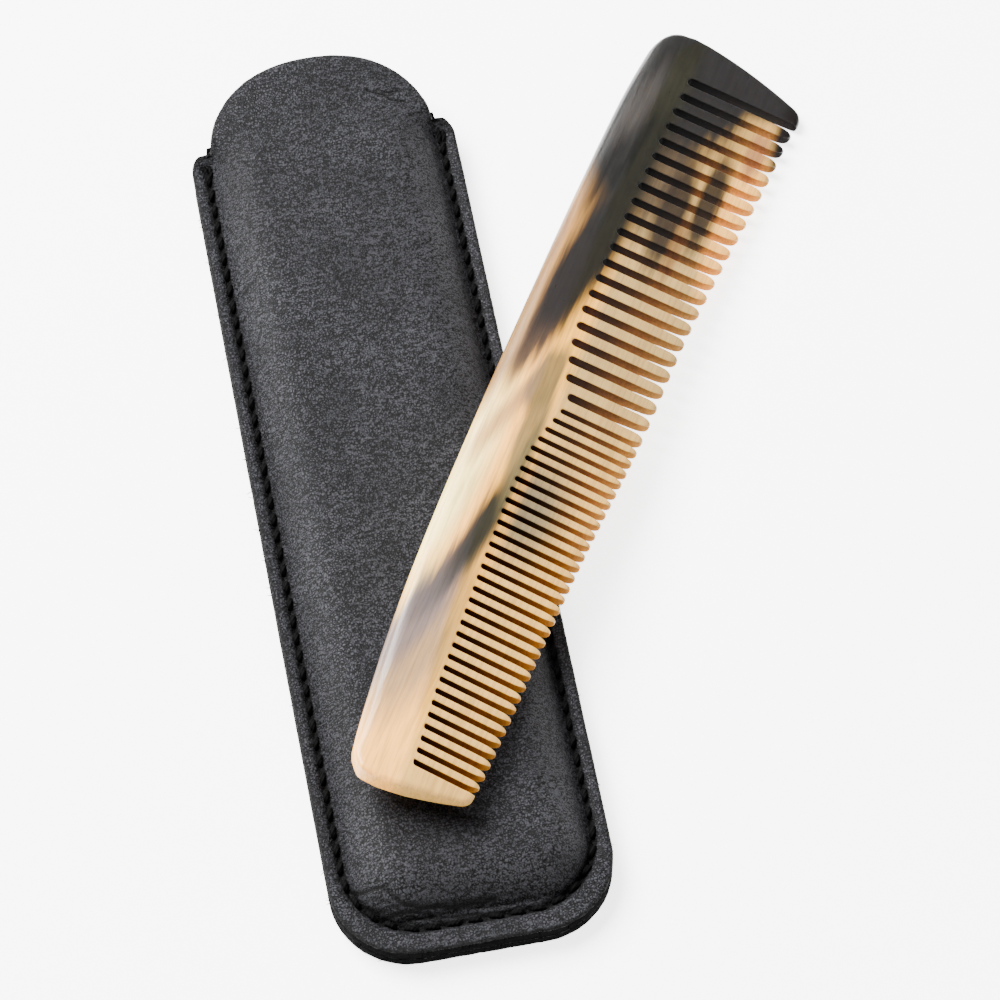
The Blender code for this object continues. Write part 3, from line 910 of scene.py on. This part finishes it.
def ragged(panel, count, path, seed):
    """A knife-cut rim: slightly uneven in plan, on both faces of the sheet."""
    co = points_of(panel) / MM
    distance, _ = nearest(co[:count, :2], path)
    wander = RAGGED * cloud(co[:count, :2], 1.6, seed, 3) * np.exp(-distance / 0.5)
    outward = co[:count, :2] / np.maximum(np.abs(co[:count, :2]).max(1), 1)[:, None]
    shift = outward / np.maximum(np.linalg.norm(outward, axis=1), 0.2)[:, None] * wander[:, None]
    co[:count, :2] += shift
    co[count:2 * count, :2] += shift * 0.7
    return co, distance


def seam_relief(points):
    """How far the stitching draws the surface down at each point."""
    distance, along = nearest(points, dense(seam_path(), 0.1))
    places = stitch_places()
    ends = np.concatenate([places - HALF_HOLE_GAP, places + HALF_HOLE_GAP])
    to_hole = np.abs(along[:, None] - ends[None, :]).min(1)
    to_hole = np.where(distance < 3, to_hole, 9)
    groove = 0.5 * hump(distance, 0.62)
    holes = 0.4 * hump(np.hypot(distance, to_hole), 0.42)
    pull = 0.12 * hump(distance, 1.5)
    return groove + holes + pull


# Each crease's depth, its half-width and the line it follows, in the panel's own plan
CREASES = (
    (0.26, 0.26, ((-17.0, -67.8), (-15.7, -68.5), (-13.9, -68.8), (-12.6, -69.2))),
    (0.26, 0.26, ((-12.5, -69.4), (-11.6, -70.4), (-10.5, -71.5), (-9.7, -71.9), (-7.3, -72.4),
                  (-2.8, -72.8), (2.5, -72.9))),
    (0.18, 0.2, ((-14.8, -69.8), (-12.6, -70.8), (-10.8, -72.3), (-7, -73.1))),
    (0.16, 0.2, ((-15.6, -70.6), (-13.2, -71.8), (-9.5, -73.3), (-5, -73.8), (0, -74.0))),
    (0.30, 0.22, ((8.2, 61.5), (10.6, 60.3), (11.6, 59.3), (13.5, 58.9))),
    (0.24, 0.2, ((10.4, 60.9), (12.9, 60.7))),
    (0.24, 0.34, ((-16.3, 31.0), (-14.6, 31.9))))


def creased(x, y):
    """How deep the creases and handling marks lie at each point."""
    flat = np.stack([x, y], 1)
    depth = np.zeros_like(x)
    for deep, width, line in CREASES:
        distance, _ = nearest(flat, dense(smooth_points(line), 0.08))
        depth = np.maximum(depth, deep * hump(distance, width))
    # Ripples where the wet leather was gathered round the bottom of the pocket
    ripples_and_painted_shade = hump(y + 72.6, 1.8) * ease((x + 16.5) / 2) * ease((14 - x) / 12)
    flow = y * 7.0 + 1.3 * np.sin(x * 0.45) + 1.2 * cloud(flat, 3.0, 11, 2)
    return depth + 0.07 * ripples_and_painted_shade * (1 + np.sin(flow))


def note_shade_and_rim_darkening(panel, shade_and_rim_darkening):
    """Keeps how much the leather's colour is darkened at each point of the grain side: painted
    shade in the seam's groove and creases, and a darker cut rim.
    """
    values = np.zeros(len(panel.data.vertices))
    values[:len(shade_and_rim_darkening)] = np.clip(shade_and_rim_darkening, 0, 1)
    panel.data.attributes.new("shade_and_rim_darkening", "FLOAT", "POINT").data.foreach_set("value", values)


def make_front(leather, edge):
    rows = front_rows()
    panel, count, x, y = make_panel("sheath_front", front_width, rows, pocket_rise,
                                    FRONT_TOP, leather, edge)
    co, distance = ragged(panel, count, rim_path(front_width, rows), 3)
    flat = np.stack([x, y], 1)
    top = co[:count, 2] - round_over(distance, 0.4) - 0.1 * np.exp(-distance / 1.2)
    sewn = seam_relief(flat) * ease((MOUTH_Y + 0.2 - y) / 1.5)
    marks = creased(x, y)
    top -= sewn
    top -= marks
    top += SAG * cloud(flat, 14.0, 5, 2) * hump(HALF_WIDTH - np.abs(x), 30)
    co[:count, 2] = top
    co[count:, 2] = np.maximum(co[count:, 2], LEATHER + PANEL_GAP)
    put_points(panel, co * MM)
    # Painted shade in the seam's groove and creases, and a darker band along the cut rim
    note_shade_and_rim_darkening(panel, sewn / 0.75 + marks / 0.3 + 0.9 * hump(distance, 0.42))
    smooth(panel, 55)
    finish_piece(panel, "sheath", "front_leather", "sheath_front_panel")


def make_back(leather, edge):
    rows = back_rows()
    panel, count, x, y = make_panel("sheath_back", back_width, rows, lambda x, y: 0 * x, LEATHER,
                                    leather, edge)
    co, distance = ragged(panel, count, rim_path(back_width, rows), 8)
    flat = np.stack([x, y], 1)
    co[:count, 2] = LEATHER - round_over(distance, 0.25)
    co[count:2 * count, 2] = round_over(distance, 0.35) + seam_relief(flat)
    put_points(panel, co * MM)
    # A darker band along the cut rim
    note_shade_and_rim_darkening(panel, 0.9 * hump(distance, 0.5))
    smooth(panel, 55)
    finish_piece(panel, "sheath", "back_leather", "sheath_back_panel")


# Thread ----------------------------------------------------------------------

def one_stitch():
    """A short length of thread that dives into the leather at both ends."""
    deselect()
    bpy.ops.mesh.primitive_cylinder_add(vertices=10, radius=THREAD_RADIUS, depth=STITCH_LENGTH,
                                        location=(0, 0, 0), rotation=(0, math.radians(90), 0))
    stitch = bpy.context.object
    apply_transform()
    bisect_at(stitch, [((x, 0, 0), (1, 0, 0)) for x in (-0.92, -0.6, -0.2, 0.2, 0.6, 0.92)])
    co = points_of(stitch)
    far = np.abs(co[:, 0]) / (STITCH_LENGTH / 2)
    slim = 1 - 0.45 * far ** 4
    co[:, 1] *= slim
    co[:, 2] = co[:, 2] * slim * 0.85 - 0.62 * far ** 3
    put_points(stitch, co)
    return stitch


def strand(line, radius, tip=1.0):
    """A round strand along a line of points, in millimetres, drawn down to tip times its size."""
    line = smooth_points(line, 3)
    deselect()
    bpy.ops.mesh.primitive_cylinder_add(vertices=6, radius=1, depth=len(line) - 1,
                                        location=(0, 0, (len(line) - 1) / 2))
    made = bpy.context.object
    apply_transform()
    bisect_at(made, [((0, 0, z), (0, 0, 1)) for z in range(1, len(line) - 1)])
    co = points_of(made)
    ring = np.rint(co[:, 2]).astype(int)
    ahead = np.gradient(line, axis=0)
    ahead /= np.linalg.norm(ahead, axis=1)[:, None]
    across = np.cross(ahead, (0.31, 0.17, 0.94))
    across /= np.linalg.norm(across, axis=1)[:, None]
    other = np.cross(ahead, across)
    size = radius * (1 + (tip - 1) * ring / (len(line) - 1))[:, None]
    co = line[ring] + size * (across[ring] * co[:, :1] + other[ring] * co[:, 1:2])
    put_points(made, co)
    return made


def thread_ends(top):
    """The doubled end stitches, which pass over the mouth's edge on both sides."""
    made = []
    for side in (-1, 1):
        for shift in (-0.35, 0.35):
            x = side * (SEAM_HALF_WIDTH + shift)
            made.append(strand(((x, 52.9, top - 0.35), (x + 0.15, 54.0, top + 0.1),
                                (x + 0.1 * side, 55.4, top + 0.12), (x, 56.3, top - 0.5),
                                (x, 56.45, 2.4), (x, 56.3, 0.9), (x, 55.2, 0.38), (x, 54.0, 0.45)),
                               END_THREAD_RADIUS))
    return made


def finish_strands(obj, finish):
    """Brings joined strands from millimetres to metres, smooth and in one finish."""
    obj.data.transform(Matrix.Scale(MM, 4))
    smooth(obj, 60)
    obj.data.materials.clear()
    obj.data.materials.append(finish)


def rim_fibres(finish):
    """Loose fibres of the cut hide, standing out of the rim of both sheets."""
    draw = random.Random(5)
    made = []
    rows = back_rows()
    path = rim_path(back_width, rows)
    for _ in range(RIM_FIBRES):
        at = draw.randrange(5, len(path) - 6)
        x, y = path[at]
        if y > MOUTH_Y - 1:
            continue
        ahead = path[at + 4] - path[at - 4]
        out = np.array([ahead[1], -ahead[0]]) / np.linalg.norm(ahead)
        out *= 1 if out @ (x, y + 20) > 0 else -1
        turn = draw.uniform(-0.9, 0.9)
        out = np.array([out[0] - out[1] * turn, out[1] + out[0] * turn])
        reach = draw.uniform(0.25, 0.6) if draw.random() < 0.8 else draw.uniform(0.6, 1.0)
        z = draw.uniform(0.5, 2 * LEATHER)
        droop = draw.uniform(-0.15, 0.1)
        start = np.array([x, y, z]) - (*(out * 0.2), 0)
        middle = np.array([x, y, z + droop]) + (*(out * reach * 0.5), 0)
        end = np.array([x + turn * 0.2, y, z + 2 * droop]) + (*(out * reach), 0)
        made.append(strand((start, middle, end), draw.uniform(0.04, 0.09), 0.3))
    fibres = join(made, "rim_fibres")
    finish_strands(fibres, finish)
    finish_piece(fibres, "sheath", "front_leather")


def sew(name, height, up, finish, node_name, slot):
    """Places a stitch at each hole pair along the seam; up is 1 on the front and -1 on the back."""
    pattern = one_stitch()
    path = dense(seam_path(), 0.1)
    along = places_along(path)
    draw = random.Random(17 if up > 0 else 23)
    copies = []
    for place in stitch_places():
        x, y = np.interp(place, along, path[:, 0]), np.interp(place, along, path[:, 1])
        ahead = (np.interp(place + 0.5, along, path[:, 0]) - x,
                 np.interp(place + 0.5, along, path[:, 1]) - y)
        if place + 0.5 > along[-1]:
            ahead = (0, 1)
        turn = math.atan2(ahead[1], ahead[0]) + math.radians(
            STITCH_TURN + draw.uniform(-TURN_SPREAD, TURN_SPREAD))
        stitch = duplicate(pattern)
        flip = Matrix.Rotation(math.pi, 4, "X") if up < 0 else Matrix.Identity(4)
        stitch.data.transform(Matrix.Translation((x, y, height + draw.uniform(-0.05, 0.03) * up))
                              @ Matrix.Rotation(turn, 4, "Z") @ flip
                              @ Matrix.Diagonal((draw.uniform(0.9, 1.02), 1, 1, 1)))
        copies.append(stitch)
    bpy.data.objects.remove(pattern, do_unlink=True)
    stitches = join(copies + (thread_ends(height) if up > 0 else []), name)
    finish_strands(stitches, finish)
    finish_piece(stitches, "sheath", slot, node_name)


def main():
    add_camera()
    add_surroundings(floor_paper())
    edge = raw_edge()
    front = black_leather("black full-grain leather", "#020202", "#303034", 1.0, 0.55)
    back = black_leather("black full-grain leather, back", "#020202", "#29292D", 0.9, 0.6)
    make_comb(cow_horn("polished cow horn", False), cow_horn("sawn cow horn", True))
    make_front(front, edge)
    make_back(back, edge)
    rim_fibres(edge)
    sew("front_stitches", FRONT_THREAD_HEIGHT, 1, waxed_thread("black waxed thread"),
        "needle_thread", "needle_thread")
    sew("back_stitches", BACK_THREAD_HEIGHT, -1, waxed_thread("black waxed thread, back"),
        "bobbin_thread", "bobbin_thread")


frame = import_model()
main()
